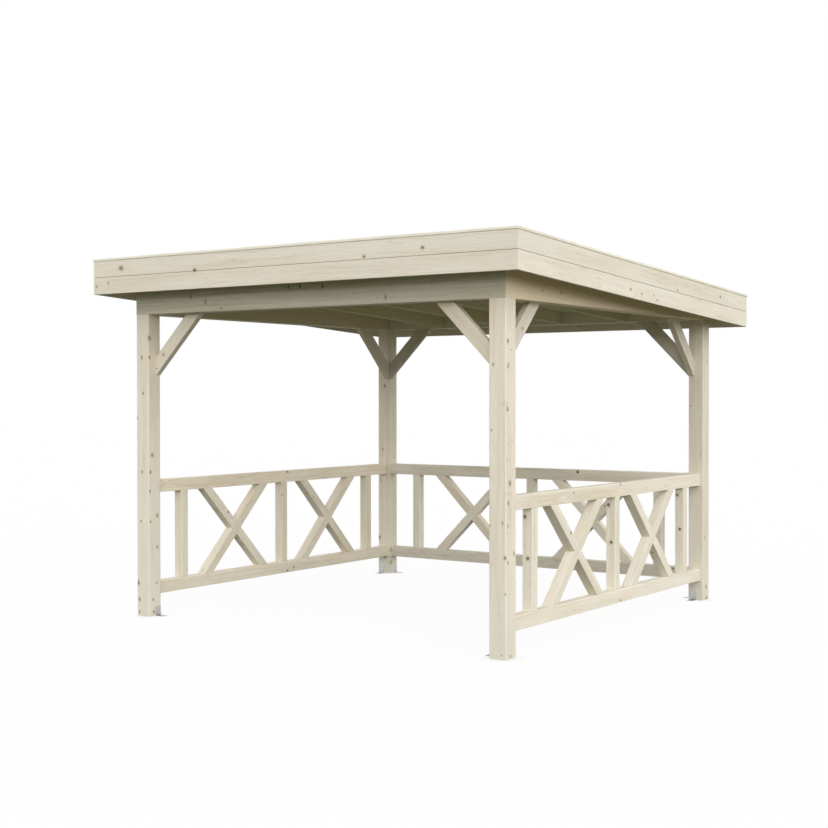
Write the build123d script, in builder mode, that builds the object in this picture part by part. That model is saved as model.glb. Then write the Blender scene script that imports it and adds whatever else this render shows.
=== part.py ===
from build123d import *
import math
import os

# Garden gazebo: four posts, a mitred ring of beams on top of them, a low pent roof behind
# a two-board fascia, and balustrades with half-lapped crosses on three sides.
# Millimetres. X runs along the open front, Y from the front to the back, Z up from the floor.
# The origin is on the floor below the middle of the roof.

# posts
post_size = 120
post_chamfer = 4
frame_width = 3120
frame_depth = 3120

# ring of beams; the side beams taper with the roof from this height at the front
beam_underside = 2190
side_beam_front_height = 260

# roof, measured plumb from the underside of the roof boards
overhang_side = 210
overhang_front = 215
overhang_back = 250
roof_slope = 3.05
roof_board_thickness = 19
felt_thickness = 3
felt_corner_gap = 1

# rafters, notched over the front beam and let into the back beam
rafter_count = 4
rafter_width = 45
rafter_height = 95
rafter_seat_depth = 5
rafter_housing_depth = 20
rafter_housing_clearance = 0.5

# fascia: two boards high, with a capping strip on top
fascia_board_height = 119
fascia_thickness = 20
fascia_drop = 128
capping_thickness = 18
capping_width = 60
capping_lip = 5

# knee braces
brace_leg = 440
brace_width = 95
brace_thickness = 45

# balustrades
rail_height = 92
rail_thickness = 70
rail_chamfer = 4
bottom_rail_underside = 155
rail_gap = 650
baluster_size = 70
end_gap = 242
cross_width = 70
cross_angle = 45
lap_clearance = 0.25

# angle brackets at the feet
bracket_leg = 70
bracket_width = 50
bracket_thickness = 2.5
bracket_bend_radius = 4
anchor_hole_radius = 4.5
anchor_hole_spacing = 26
anchor_hole_reach = 45
screw_hole_radius = 2.5
screw_hole_heights = (22, 52)
bracket_shift_x_face = 30
bracket_shift_y_face = -20

# positions that follow from the sizes above
roof_half_width = frame_width / 2 + overhang_side
roof_half_depth = (overhang_front + frame_depth + overhang_back) / 2
side_x = frame_width / 2
front_y = overhang_front - roof_half_depth
back_y = front_y + frame_depth
roof_height_front = beam_underside + side_beam_front_height
front_beam_height = side_beam_front_height - rafter_height + rafter_seat_depth
rail_inset = (post_size - rail_thickness) / 2
top_rail_underside = bottom_rail_underside + rail_height + rail_gap
cross_middle = bottom_rail_underside + rail_height + rail_gap / 2
fall = math.tan(math.radians(roof_slope))

os.makedirs("parts", exist_ok=True)


def roof_z(y, above=0):
    """Height of the roof boards' underside at y, and any distance plumb above it."""
    return roof_height_front - (y - front_y) * fall + above


def sloped_profile(y_low, y_high, bottom, top):
    """Corners of a strip that follows the roof, for a sketch on a YZ plane."""
    return [
        (y_low, roof_z(y_low, bottom)),
        (y_high, roof_z(y_high, bottom)),
        (y_high, roof_z(y_high, top)),
        (y_low, roof_z(y_low, top)),
    ]


def side_plane(side, depth):
    """Upright plane along one side, a given depth in from the posts' outer faces.

    Its X runs along the side from one outer corner to the other, its Y is up and
    its Z points into the gazebo.
    """
    corner = {
        "front": (side_x, front_y, 0),
        "left": (-side_x, front_y, 0),
        "back": (-side_x, back_y, 0),
        "right": (side_x, back_y, 0),
    }[side]
    along = {"front": (-1, 0, 0), "left": (0, 1, 0), "back": (1, 0, 0), "right": (0, -1, 0)}[side]
    inward = {"front": (0, 1, 0), "left": (1, 0, 0), "back": (0, -1, 0), "right": (-1, 0, 0)}[side]
    return Plane(origin=corner, x_dir=along, z_dir=inward).offset(depth)


def side_length(side):
    return frame_width if side in ("front", "back") else frame_depth


def mitre_planes(side, x, low_y, high_y):
    """The two corner planes of a rectangular ring, facing the member on this side."""
    ends = {
        "front": [(-x, low_y), (x, low_y)],
        "back": [(-x, high_y), (x, high_y)],
        "left": [(-x, low_y), (-x, high_y)],
        "right": [(x, low_y), (x, high_y)],
    }[side]
    turn = 1 if side in ("left", "right") else -1
    planes = []
    for end_x, end_y in ends:
        facing = (turn * math.copysign(1, end_x), -turn * math.copysign(1, end_y), 0)
        planes.append(Plane(origin=(end_x, end_y, 0), z_dir=facing))
    return planes


def roof_edge_member(side, half_x, half_y, width, bottom, top):
    """A board on one edge of the roof outline, planed to the slope and mitred at its ends."""
    with BuildPart() as member:
        if side in ("left", "right"):
            start = -half_x if side == "left" else half_x - width
            length = width
            points = sloped_profile(-half_y, half_y, bottom, top)
        else:
            start = -half_x
            length = 2 * half_x
            low = -half_y if side == "front" else half_y - width
            points = sloped_profile(low, low + width, bottom, top)
        with BuildSketch(Plane.YZ.offset(start)):
            with BuildLine():
                Polyline(*points, close=True)
            make_face()
        extrude(amount=length)
        for plane in mitre_planes(side, half_x, -half_y, half_y):
            split(bisect_by=plane, keep=Keep.TOP)
    return member


# posts, one under each corner of the ring
for post_name, post_x, post_y in (
    ("post_front_left", -side_x + post_size / 2, front_y + post_size / 2),
    ("post_front_right", side_x - post_size / 2, front_y + post_size / 2),
    ("post_back_left", -side_x + post_size / 2, back_y - post_size / 2),
    ("post_back_right", side_x - post_size / 2, back_y - post_size / 2),
):
    with BuildPart() as post:
        with BuildSketch():
            with Locations((post_x, post_y)):
                Rectangle(post_size, post_size)
        extrude(amount=beam_underside)
        chamfer(post.edges().filter_by(Axis.Z), length=post_chamfer)
    post.part.label = post_name
    export_step(post.part, f"parts/{post_name}.step")

# ring of beams, mitred at the corners; the side beams taper with the roof
rafter_pitch = (frame_width - 2 * post_size + rafter_width) / (rafter_count + 1)
rafter_positions = [
    -side_x + post_size - rafter_width / 2 + rafter_pitch * (index + 1)
    for index in range(rafter_count)
]

with BuildPart() as front_beam:
    with BuildSketch(side_plane("front", 0)):
        with Locations((frame_width / 2, beam_underside + front_beam_height / 2)):
            Rectangle(frame_width, front_beam_height)
    extrude(amount=post_size)
    for corner_plane in mitre_planes("front", side_x, front_y, back_y):
        split(bisect_by=corner_plane, keep=Keep.TOP)
front_beam.part.label = "front_beam"
export_step(front_beam.part, "parts/front_beam.step")

with BuildPart() as back_beam:
    with BuildSketch(Plane.YZ.offset(-side_x)):
        with BuildLine():
            Polyline(
                (back_y - post_size, beam_underside),
                (back_y, beam_underside),
                (back_y, roof_z(back_y)),
                (back_y - post_size, roof_z(back_y - post_size)),
                close=True,
            )
        make_face()
    extrude(amount=frame_width)
    for corner_plane in mitre_planes("back", side_x, front_y, back_y):
        split(bisect_by=corner_plane, keep=Keep.TOP)
    # housings in the inner face that carry the rafters' ends
    for rafter_x in rafter_positions:
        housing_width = rafter_width + 2 * rafter_housing_clearance
        with BuildSketch(Plane.YZ.offset(rafter_x - housing_width / 2)):
            with BuildLine():
                Polyline(
                    *sloped_profile(
                        back_y - post_size - 1,
                        back_y - post_size + rafter_housing_depth,
                        -rafter_height,
                        1,
                    ),
                    close=True,
                )
            make_face()
        extrude(amount=housing_width, mode=Mode.SUBTRACT)
back_beam.part.label = "back_beam"
export_step(back_beam.part, "parts/back_beam.step")

for side in ("left", "right"):
    with BuildPart() as side_beam:
        with BuildSketch(Plane.YZ.offset(-side_x if side == "left" else side_x - post_size)):
            with BuildLine():
                Polyline(
                    (front_y, beam_underside),
                    (back_y, beam_underside),
                    (back_y, roof_z(back_y)),
                    (front_y, roof_z(front_y)),
                    close=True,
                )
            make_face()
        extrude(amount=post_size)
        for corner_plane in mitre_planes(side, side_x, front_y, back_y):
            split(bisect_by=corner_plane, keep=Keep.TOP)
    side_beam.part.label = f"{side}_beam"
    export_step(side_beam.part, f"parts/{side}_beam.step")

# rafters, and in line with them the short tails that carry the roof past the back beam
seat = beam_underside + front_beam_height
rafter_front = -roof_half_depth + fascia_thickness
rafter_back = back_y - post_size + rafter_housing_depth
with BuildPart() as rafters:
    for rafter_x in rafter_positions:
        with BuildSketch(Plane.YZ.offset(rafter_x - rafter_width / 2)):
            with BuildLine():
                Polyline(
                    (rafter_front, roof_z(rafter_front, -rafter_height)),
                    (front_y, roof_z(front_y, -rafter_height)),
                    (front_y, seat),
                    (front_y + post_size, seat),
                    (front_y + post_size, roof_z(front_y + post_size, -rafter_height)),
                    (rafter_back, roof_z(rafter_back, -rafter_height)),
                    (rafter_back, roof_z(rafter_back)),
                    (rafter_front, roof_z(rafter_front)),
                    close=True,
                )
            make_face()
            with BuildLine():
                Polyline(
                    *sloped_profile(back_y, roof_half_depth - fascia_thickness, -rafter_height, 0),
                    close=True,
                )
            make_face()
        extrude(amount=rafter_width)
rafters.part.label = "rafters"
export_step(rafters.part, "parts/rafters.step")

# roof boards, and the felt on top of them
inner_half_width = roof_half_width - fascia_thickness
inner_half_depth = roof_half_depth - fascia_thickness
for layer_name, layer_bottom, layer_top in (
    ("roof_boards", 0, roof_board_thickness),
    ("roof_felt", roof_board_thickness, roof_board_thickness + felt_thickness),
):
    with BuildPart() as layer:
        with BuildSketch(Plane.YZ.offset(-inner_half_width)):
            with BuildLine():
                Polyline(
                    *sloped_profile(-inner_half_depth, inner_half_depth, layer_bottom, layer_top),
                    close=True,
                )
            make_face()
        extrude(amount=2 * inner_half_width)
    layer.part.label = layer_name
    export_step(layer.part, f"parts/{layer_name}.step")

# strips of felt turned up behind the fascia on all four edges
fascia_top = 2 * fascia_board_height - fascia_drop
upstand_bottom = roof_board_thickness + felt_thickness
with BuildPart() as felt_upstands:
    for low_y in (-inner_half_depth, inner_half_depth - felt_thickness):
        with BuildSketch(Plane.YZ.offset(-inner_half_width)):
            with BuildLine():
                Polyline(
                    *sloped_profile(low_y, low_y + felt_thickness, upstand_bottom, fascia_top),
                    close=True,
                )
            make_face()
        extrude(amount=2 * inner_half_width)
    for low_x in (-inner_half_width, inner_half_width - felt_thickness):
        strip_half_depth = inner_half_depth - felt_thickness - felt_corner_gap
        with BuildSketch(Plane.YZ.offset(low_x)):
            with BuildLine():
                Polyline(
                    *sloped_profile(-strip_half_depth, strip_half_depth, upstand_bottom, fascia_top),
                    close=True,
                )
            make_face()
        extrude(amount=felt_thickness)
felt_upstands.part.label = "felt_upstands"
export_step(felt_upstands.part, "parts/felt_upstands.step")

# fascia boards, two high on each edge
for side in ("front", "back", "left", "right"):
    for row, row_name in enumerate(("lower", "upper")):
        bottom = row * fascia_board_height - fascia_drop
        fascia = roof_edge_member(
            side,
            roof_half_width,
            roof_half_depth,
            fascia_thickness,
            bottom,
            bottom + fascia_board_height,
        )
        fascia.part.label = f"fascia_{side}_{row_name}"
        export_step(fascia.part, f"parts/fascia_{side}_{row_name}.step")

# capping strips over the fascia's top edge and the felt's upstand
for capping_name, capping_sides in (
    ("capping_ends", ("front", "back")),
    ("capping_sides", ("left", "right")),
):
    strips = [
        roof_edge_member(
            side,
            roof_half_width + capping_lip,
            roof_half_depth + capping_lip,
            capping_width,
            fascia_top,
            fascia_top + capping_thickness,
        )
        for side in capping_sides
    ]
    with BuildPart() as capping:
        for strip in strips:
            add(strip.part)
    capping.part.label = capping_name
    export_step(capping.part, f"parts/{capping_name}.step")

# knee braces, two on each side, flush with the posts' inner faces
brace_cut = brace_width * math.sqrt(2)
for side in ("front", "back", "left", "right"):
    near_post = post_size
    far_post = side_length(side) - post_size
    with BuildPart() as braces:
        for post_face, turn in ((near_post, 1), (far_post, -1)):
            with BuildSketch(side_plane(side, post_size - brace_thickness)):
                with BuildLine():
                    Polyline(
                        (post_face, beam_underside - brace_leg),
                        (post_face, beam_underside - brace_leg + brace_cut),
                        (post_face + turn * (brace_leg - brace_cut), beam_underside),
                        (post_face + turn * brace_leg, beam_underside),
                        close=True,
                    )
                make_face()
            extrude(amount=brace_thickness)
    braces.part.label = f"{side}_braces"
    export_step(braces.part, f"parts/{side}_braces.step")

# balustrades on the three closed sides
for side in ("left", "back", "right"):
    length = side_length(side)
    clear_length = length - 2 * post_size
    rail_plane = side_plane(side, rail_inset)

    for rail_name, underside in (
        ("bottom_rail", bottom_rail_underside),
        ("top_rail", top_rail_underside),
    ):
        with BuildPart() as rail:
            with BuildSketch(rail_plane):
                with Locations((length / 2, underside + rail_height / 2)):
                    Rectangle(clear_length, rail_height)
            extrude(amount=rail_thickness)
            along = Axis.X if side == "back" else Axis.Y
            chamfer(
                rail.edges().filter_by(along).group_by(Axis.Z)[-1],
                length=rail_chamfer,
            )
        rail.part.label = f"{side}_{rail_name}"
        export_step(rail.part, f"parts/{side}_{rail_name}.step")

    first_baluster = post_size + end_gap + baluster_size / 2
    baluster_positions = [first_baluster, length / 2, length - first_baluster]
    with BuildPart() as balusters:
        with BuildSketch(rail_plane):
            with Locations(*[(place, cross_middle) for place in baluster_positions]):
                Rectangle(baluster_size, rail_gap)
        extrude(amount=rail_thickness)
    balusters.part.label = f"{side}_balusters"
    export_step(balusters.part, f"parts/{side}_balusters.step")

    # each cross is two square timbers, halved over each other where they meet
    half_rise = rail_gap / 2
    half_run = half_rise / math.tan(math.radians(cross_angle))
    half_end = cross_width / 2 / math.sin(math.radians(cross_angle))
    cross_positions = [
        (baluster_positions[0] + baluster_positions[1]) / 2,
        (baluster_positions[1] + baluster_positions[2]) / 2,
    ]
    for arm_name, turn, lap_depth in (("rising", 1, 0), ("falling", -1, rail_thickness / 2)):
        with BuildPart() as arms:
            for place in cross_positions:
                with BuildSketch(rail_plane):
                    with BuildLine():
                        Polyline(
                            (place - turn * half_run - half_end, cross_middle - half_rise),
                            (place - turn * half_run + half_end, cross_middle - half_rise),
                            (place + turn * half_run + half_end, cross_middle + half_rise),
                            (place + turn * half_run - half_end, cross_middle + half_rise),
                            close=True,
                        )
                    make_face()
                extrude(amount=rail_thickness)
                with BuildSketch(rail_plane.offset(lap_depth)):
                    with Locations((place, cross_middle)):
                        Rectangle(
                            3 * cross_width,
                            cross_width + 2 * lap_clearance,
                            rotation=-turn * cross_angle,
                        )
                extrude(amount=rail_thickness / 2, mode=Mode.SUBTRACT)
        arms.part.label = f"{side}_crosses_{arm_name}"
        export_step(arms.part, f"parts/{side}_crosses_{arm_name}.step")

# galvanised angle brackets, one on each inner face of a post, with anchor holes in the floor leg
for place_name, turn_x, turn_y in (
    ("front_left", 1, 1),
    ("front_right", -1, 1),
    ("back_left", 1, -1),
    ("back_right", -1, -1),
):
    middle_x = turn_x * (post_size / 2 - side_x)
    middle_y = front_y + post_size / 2 if turn_y > 0 else back_y - post_size / 2
    corner_on_x_face = (
        middle_x + turn_x * post_size / 2,
        middle_y + bracket_shift_x_face,
        0,
    )
    corner_on_y_face = (
        middle_x + bracket_shift_y_face,
        middle_y + turn_y * post_size / 2,
        0,
    )
    with BuildPart() as brackets:
        for corner, inward in (
            (corner_on_x_face, (turn_x, 0, 0)),
            (corner_on_y_face, (0, turn_y, 0)),
        ):
            profile_plane = Plane(
                origin=corner,
                x_dir=inward,
                z_dir=(inward[1], -inward[0], 0),
            )
            with BuildSketch(profile_plane):
                with BuildLine():
                    FilletPolyline(
                        (bracket_leg, bracket_thickness),
                        (bracket_thickness, bracket_thickness),
                        (bracket_thickness, bracket_leg),
                        radius=bracket_bend_radius,
                    )
                    Polyline(
                        (bracket_thickness, bracket_leg),
                        (0, bracket_leg),
                        (0, 0),
                        (bracket_leg, 0),
                        (bracket_leg, bracket_thickness),
                    )
                make_face()
            extrude(amount=bracket_width / 2, both=True)
            face_plane = Plane(origin=corner, x_dir=(-inward[1], inward[0], 0), z_dir=inward)
            with BuildSketch(face_plane):
                with Locations(*[(0, height) for height in screw_hole_heights]):
                    Circle(screw_hole_radius)
            extrude(amount=bracket_thickness, mode=Mode.SUBTRACT)
            floor_plane = Plane(origin=corner, x_dir=inward, z_dir=(0, 0, 1))
            with BuildSketch(floor_plane):
                with Locations(
                    (anchor_hole_reach, anchor_hole_spacing / 2),
                    (anchor_hole_reach, -anchor_hole_spacing / 2),
                ):
                    Circle(anchor_hole_radius)
            extrude(amount=bracket_thickness, mode=Mode.SUBTRACT)
    brackets.part.label = f"foot_brackets_{place_name}"
    export_step(brackets.part, f"parts/foot_brackets_{place_name}.step")
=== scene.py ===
import math
import random

import bmesh
import bpy
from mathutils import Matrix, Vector


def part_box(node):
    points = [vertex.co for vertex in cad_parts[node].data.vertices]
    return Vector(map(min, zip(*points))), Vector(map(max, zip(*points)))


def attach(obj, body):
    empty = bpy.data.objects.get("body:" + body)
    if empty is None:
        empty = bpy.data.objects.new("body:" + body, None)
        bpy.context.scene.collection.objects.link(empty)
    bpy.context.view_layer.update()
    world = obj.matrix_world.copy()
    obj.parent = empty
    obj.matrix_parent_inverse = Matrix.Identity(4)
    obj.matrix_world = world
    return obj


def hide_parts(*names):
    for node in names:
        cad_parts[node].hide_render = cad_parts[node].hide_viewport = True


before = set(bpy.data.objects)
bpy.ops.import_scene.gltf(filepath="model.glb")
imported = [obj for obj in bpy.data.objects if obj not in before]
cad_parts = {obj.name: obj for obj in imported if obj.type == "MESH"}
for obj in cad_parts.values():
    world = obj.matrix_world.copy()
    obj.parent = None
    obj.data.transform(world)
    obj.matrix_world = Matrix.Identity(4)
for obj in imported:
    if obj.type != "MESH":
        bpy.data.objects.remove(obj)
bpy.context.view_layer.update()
scene = bpy.context.scene
up = Vector((0, 0, 1))
print("frame loaded")


def solidsIn(node):
    # one clean solid for each separate timber of a CAD node, with its flat faces whole
    whole = bmesh.new()
    whole.from_mesh(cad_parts[node].data)
    bmesh.ops.remove_doubles(whole, verts=whole.verts, dist=0.00003)
    whole.verts.index_update()
    whole.faces.index_update()
    seen, solids = set(), []
    for start in whole.verts:
        if start.index in seen:
            continue
        island, waiting = [], [start]
        seen.add(start.index)
        while waiting:
            vertex = waiting.pop()
            island.append(vertex)
            for edge in vertex.link_edges:
                other = edge.other_vert(vertex)
                if other.index not in seen:
                    seen.add(other.index)
                    waiting.append(other)
        solid = bmesh.new()
        twin = {vertex: solid.verts.new(vertex.co) for vertex in island}
        skin = {face.index: face for vertex in island for face in vertex.link_faces}
        for index in sorted(skin):
            solid.faces.new([twin[vertex] for vertex in skin[index].verts])
        bmesh.ops.recalc_face_normals(solid, faces=solid.faces)
        bmesh.ops.dissolve_limit(
            solid, angle_limit=math.radians(0.3), verts=solid.verts, edges=solid.edges)
        solids.append(solid)
    whole.free()
    solids.sort(key=lambda solid: tuple(round(value, 3) for value in middleOf(solid)))
    return solids


def oneWay(direction):
    # the same way along a line from whichever end it was found, so that each run gives the same result
    return -direction if [round(part, 3) for part in direction] < [0, 0, 0] else direction


def middleOf(solid):
    lows = [min(vertex.co[axis] for vertex in solid.verts) for axis in range(3)]
    highs = [max(vertex.co[axis] for vertex in solid.verts) for axis in range(3)]
    return Vector([(low + high) / 2 for low, high in zip(lows, highs)])


def put(tree, kind, sockets=None, **settings):
    node = tree.nodes.new(kind)
    row, column = divmod(len(tree.nodes), 12)  # twelve nodes in a row
    node.location = (column * 190, -row * 300)
    for setting, value in settings.items():
        setattr(node, setting, value)
    for socket, value in (sockets or {}).items():
        join(tree, value, node.inputs[socket])
    return node


def join(tree, value, socket):
    if isinstance(value, bpy.types.NodeSocket):
        tree.links.new(value, socket)
    else:
        socket.default_value = value


def calc(tree, operation, *values, clamp=False):
    node = put(tree, "ShaderNodeMath", operation=operation, use_clamp=clamp)
    for socket, value in zip(node.inputs, values):
        join(tree, value, socket)
    return node.outputs[0]


def shift(tree, operation, *values):
    node = put(tree, "ShaderNodeVectorMath", operation=operation)
    for socket, value in zip(node.inputs, values):
        join(tree, value, socket)
    return node.outputs["Value" if operation in ("LENGTH", "DISTANCE") else "Vector"]


def ease(tree, value, low, high, to=(0, 1)):
    # smooth step between two values, which may fall as well as rise
    node = put(tree, "ShaderNodeMapRange", interpolation_type="SMOOTHSTEP")
    sockets = ("Value", "From Min", "From Max", "To Min", "To Max")
    for socket, number in zip(sockets, (value, low, high, *to)):
        join(tree, number, node.inputs[socket])
    return node.outputs[0]


def tint(tree, amount, first, second, mode="MIX"):
    node = put(tree, "ShaderNodeMix", data_type="RGBA", blend_type=mode)
    for socket, value in zip((node.inputs[0], node.inputs[6], node.inputs[7]), (amount, first, second)):
        join(tree, value, socket)
    return node.outputs[2]


def cloud(tree, vector, scale, detail=2, roughness=0.5, output=0):
    return put(tree, "ShaderNodeTexNoise", {
        "Vector": vector, "Scale": scale, "Detail": detail, "Roughness": roughness}).outputs[output]


def streaks(tree, grain, turns, detail=2, roughness=0.5, output=0):
    # a cloud drawn out along the grain
    return cloud(tree, shift(tree, "MULTIPLY", grain, turns), 1, detail, roughness, output)


def chances(tree, cells):
    # three random numbers for each cell
    return put(tree, "ShaderNodeSeparateColor", {0: cells.outputs["Color"]}).outputs


def partsOf(tree, vector):
    return put(tree, "ShaderNodeSeparateXYZ", {0: vector}).outputs


def placeIn(tree):
    return put(tree, "ShaderNodeTexCoord").outputs["Object"]


def newMaterial(name):
    material = bpy.data.materials.new(name)
    material.use_nodes = True
    material.node_tree.nodes.clear()
    return material, material.node_tree


def coat(tree, tone, rough, height, relief, strength, **finish):
    # the last nodes of a material: its relief, its surface and its output
    bump = put(tree, "ShaderNodeBump", {"Height": height, "Distance": relief, "Strength": strength})
    skin = put(tree, "ShaderNodeBsdfPrincipled", {
        "Base Color": tone, "Roughness": rough, "Normal": bump.outputs[0], **finish})
    put(tree, "ShaderNodeOutputMaterial", {"Surface": skin.outputs[0]})


def colour(red, green, blue):
    return (red, green, blue, 1)


softwoodLook = {
    "sapwood": colour(0.800, 0.755, 0.650),
    "latewood": colour(0.600, 0.500, 0.355),
    "blush": colour(0.775, 0.680, 0.545),
    "blushStrength": 0.50,
    "greying": colour(0.665, 0.655, 0.570),
    "greyingStrength": 0.30,
    "ringWidth": 0.0046,
    "ringStrength": 0.36,
    "ringWander": 0.045,
    "ringRipple": 0.0050,
    "bandStrength": 0.34,
    "fibreStrength": 0.08,
    "boardSpread": 0.045,  # how much lighter one step of a timber's shade makes it
    "boardWarmth": 0.05,
    "knotCell": 0.105,  # knots are about this far apart across the grain
    "knotCellShape": 0.6,  # a cell's width as a share of its length
    "knotSizes": (0.0035, 0.0095),
    "knotShare": 0.50,  # share of the cells that have a knot
    "knotHeart": colour(0.075, 0.050, 0.034),
    "knotRim": colour(0.190, 0.130, 0.084),
    "knotHalo": colour(0.500, 0.400, 0.275),
    "haloStrength": 0.48,
    "knotStretch": (1, 1, 0.7),  # under 1 draws the listed knots out along that axis
    "knotDepth": 0.82,
    "fleck": colour(0.520, 0.385, 0.270),
    "fleckStrength": 0.26,
    "check": colour(0.330, 0.270, 0.200),
    "checkStrength": 0.45,
    "worn": colour(0.860, 0.830, 0.740),
    "wornStrength": 0.45,
    "damp": colour(0.730, 0.760, 0.670),
    "dampHeight": 1.1,
    "dampStrength": 0.0,
    "cast": (1.0, 1.0, 1.0),
    "roughness": 0.74,
    "gloss": 0.15,
    "relief": 0.00035,
    # how often each pattern comes round in a metre, along the grain and then across it both ways
    "wanderTurns": (0.8, 3.5, 3.5),
    "rippleTurns": (5, 34, 34),
    "driftTurns": (1.4, 9, 9),
    "fibreTurns": (16, 620, 620),
    "fleckTurns": (17, 140, 140),
    "checkTurns": (0.9, 30, 30),
    "openTurns": (1.3, 6, 6),
    "bandTurns": (0.9, 62),  # along the grain, and outward from the heart
    "raggedTurns": 170,  # in the knots' outlines
}
farOff = 99  # further than any knot reaches


def nearestKnot(tree, knots, stretch):
    # how far off the nearest of these knots is, where 1 is its own edge
    place = shift(tree, "MULTIPLY", placeIn(tree), stretch)
    nearest = farOff
    for point, size in knots:
        squeezed = Vector(point) * Vector(stretch)
        share = calc(tree, "DIVIDE", shift(tree, "DISTANCE", place, squeezed), size)
        nearest = calc(tree, "MINIMUM", nearest, share)
    return nearest


def knotField(tree, grain, knots, look):
    # how far off the nearest knot is, where 1 is its own edge, and how brown it is
    # besides the listed knots there is one in some of the cells, each of its own size
    cell, shape = look["knotCell"], look["knotCellShape"]
    cells = put(tree, "ShaderNodeTexVoronoi", {
        "Vector": shift(tree, "MULTIPLY", grain, (shape / cell, 1 / cell, 1 / cell)), "Scale": 1})
    dice = chances(tree, cells)
    reach = shift(tree, "SUBTRACT", grain, shift(
        tree, "MULTIPLY", cells.outputs["Position"], (cell / shape, cell, cell)))
    reach = shift(tree, "MULTIPLY", reach, (0.8, 1, 1))
    small, large = look["knotSizes"]
    size = calc(tree, "MULTIPLY_ADD", calc(tree, "POWER", dice[0], 1.6), large - small, small)
    share = calc(tree, "DIVIDE", shift(tree, "LENGTH", reach), size)
    empty = calc(tree, "GREATER_THAN", dice[1], look["knotShare"])
    share = calc(tree, "MULTIPLY_ADD", empty, farOff, share)
    # the listed points include patches of painted shade, drawn like knots
    share = calc(tree, "MINIMUM", share, nearestKnot(tree, knots, look["knotStretch"]))
    ragged = calc(tree, "MULTIPLY_ADD", cloud(tree, grain, look["raggedTurns"], 2), 1.1, -0.55)
    return calc(tree, "ADD", share, ragged), dice[2]


def growthRings(tree, grain, share, seed, look):
    # rings round a heart that wanders along the length and swells past each knot
    # gives the distance from the heart, and how much dark late wood there is
    bulge = calc(tree, "MULTIPLY", ease(tree, share, 4.5, 0.5), sum(look["knotSizes"]) / 2)
    wander = streaks(tree, grain, look["wanderTurns"], output=1)
    wander = shift(tree, "SUBTRACT", wander, (0.5, 0.5, 0.5))
    wander = shift(tree, "MULTIPLY", wander, (0, look["ringWander"], look["ringWander"]))
    heart = shift(tree, "ADD", grain, wander)
    ripple = streaks(tree, grain, look["rippleTurns"])
    radius = shift(tree, "LENGTH", shift(tree, "MULTIPLY", heart, (0, 1, 1)))
    radius = calc(tree, "ADD", calc(tree, "MULTIPLY_ADD", ripple, look["ringRipple"], radius), bulge)
    ring = calc(tree, "DIVIDE", radius, look["ringWidth"])
    phase = calc(tree, "FRACT", ring)
    late = calc(tree, "MULTIPLY", ease(tree, phase, 0.30, 0.93), ease(tree, phase, 1.0, 0.955))
    year = put(tree, "ShaderNodeTexWhiteNoise", {
        "W": calc(tree, "ADD", calc(tree, "FLOOR", ring), seed)}, noise_dimensions="1D").outputs[0]
    late = calc(tree, "MULTIPLY", late, calc(tree, "MULTIPLY_ADD", year, 0.75, 0.25))
    return radius, late


def woodMarks(tree, grain, radius, seed, look):
    # how strong each pattern is, where broad bands of older and younger wood follow the rings
    lengthwise = partsOf(tree, grain)[0]
    along, outward = look["bandTurns"]
    outward = calc(tree, "MULTIPLY", radius, outward)
    along = calc(tree, "MULTIPLY", lengthwise, along)
    bandPlace = put(tree, "ShaderNodeCombineXYZ", {0: outward, 1: along, 2: seed})
    band = ease(tree, cloud(tree, bandPlace.outputs[0], 1, 3, 0.62), 0.42, 0.72)
    drift = shift(tree, "MULTIPLY", grain, look["driftTurns"])
    blush = ease(tree, cloud(tree, drift, 1, 2), 0.47, 0.72)
    greying = ease(tree, cloud(tree, shift(tree, "ADD", drift, (7, 3, 5)), 0.8, 3), 0.50, 0.76)
    fibre = streaks(tree, grain, look["fibreTurns"], 3, 0.6)
    fleck = ease(tree, streaks(tree, grain, look["fleckTurns"]), 0.58, 0.66)
    fleck = calc(tree, "MULTIPLY", fleck, ease(tree, cloud(tree, drift, 1.7, 2), 0.44, 0.62))

    # hairline drying checks, here and there along the length
    split = streaks(tree, grain, look["checkTurns"], 1)
    split = calc(tree, "ABSOLUTE", calc(tree, "SUBTRACT", split, 0.5))
    opened = ease(tree, streaks(tree, grain, look["openTurns"]), 0.56, 0.63)
    check = calc(tree, "MULTIPLY", ease(tree, split, 0.0060, 0.0012), opened)

    # edges rubbed pale where hands and straps have been
    edge = put(tree, "ShaderNodeAttribute", attribute_name="worn").outputs["Fac"]
    worn = calc(tree, "MULTIPLY", edge, ease(tree, cloud(tree, drift, 3.1, 3), 0.36, 0.60))
    return dict(
        band=band, blush=blush, greying=greying, fibre=fibre, fleck=fleck, check=check, worn=worn)


def plainWood(tree, marks, board, look):
    # the timber's colour without its knots: each mark stains it in turn
    wood = look["sapwood"]
    for mark, stain in (
            ("blush", "blush"), ("greying", "greying"), ("band", "latewood"), ("ring", "latewood"),
            ("fleck", "fleck"), ("check", "check"), ("worn", "worn")):
        wood = tint(tree, calc(tree, "MULTIPLY", marks[mark], look[mark + "Strength"]), wood, look[stain])
    shade = calc(tree, "MULTIPLY_ADD", board[0], look["boardSpread"], 1)
    shade = calc(tree, "ADD", shade, calc(
        tree, "MULTIPLY", calc(tree, "SUBTRACT", marks["fibre"], 0.5), look["fibreStrength"] * 2))
    wood = put(tree, "ShaderNodeVectorMath", {0: wood, "Scale": shade}, operation="SCALE").outputs[0]
    warmth = calc(tree, "MULTIPLY_ADD", board[1], look["boardWarmth"], look["boardWarmth"])
    wood = tint(tree, warmth, wood, look["blush"], "MULTIPLY")
    wood = shift(tree, "MULTIPLY", wood, look["cast"])
    if look["dampStrength"]:
        # greener and greyer towards the ground
        height = partsOf(tree, placeIn(tree))[2]
        low = calc(tree, "MULTIPLY", ease(tree, height, look["dampHeight"], 0), look["dampStrength"])
        wood = tint(tree, low, wood, look["damp"])
    return wood


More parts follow.
